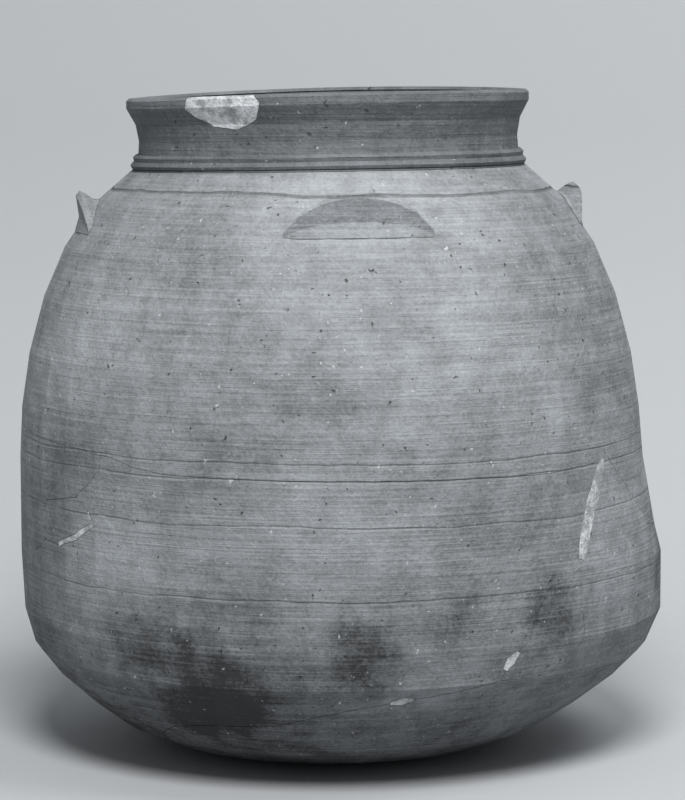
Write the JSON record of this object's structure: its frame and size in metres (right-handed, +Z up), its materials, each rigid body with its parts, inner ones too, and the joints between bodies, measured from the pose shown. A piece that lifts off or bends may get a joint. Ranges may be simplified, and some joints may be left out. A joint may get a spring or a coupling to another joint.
{
  "type": "lugged storage jar",
  "caption": "Handmade grey storage jar with a short flared neck and crescent lugs on its shoulder, mended from sherds.",
  "frame": {"origin": "centre of the flat resting face, on the jar's axis", "axes": "+Z up along the jar's axis, -Y towards the viewer of the picture, +X to the viewer's right"},
  "size_m": [0.3769, 0.365, 0.3853],
  "materials": {
    "clay": "unglazed, wiped, grey",
    "clay_dark": "unglazed, sooted, dark grey",
    "plaster": "matte, pale mending plaster"
  },
  "bodies": {
    "root": {"neck_and_rim": "clay_dark", "neck_cordon": "clay_dark", "body_upper": "clay", "sherd_front_wall": "clay", "sherd_right_bulge": "clay", "sherd_right_triangle": "clay", "sherd_front_foot": "clay", "sherd_back_wall": "clay", "sherd_left_upper": "clay", "sherd_left_lower": "clay", "sherd_left_edge": "clay", "sherd_base": "clay_dark", "lug_right": "clay", "lug_back": "clay", "lug_left": "clay", "lug_front": "clay", "fill_right_break": "plaster", "fill_junction": "plaster", "fill_lower_break": "plaster", "fill_left": "plaster", "fill_lip_patch": "plaster"}
  },
  "joints": []
}
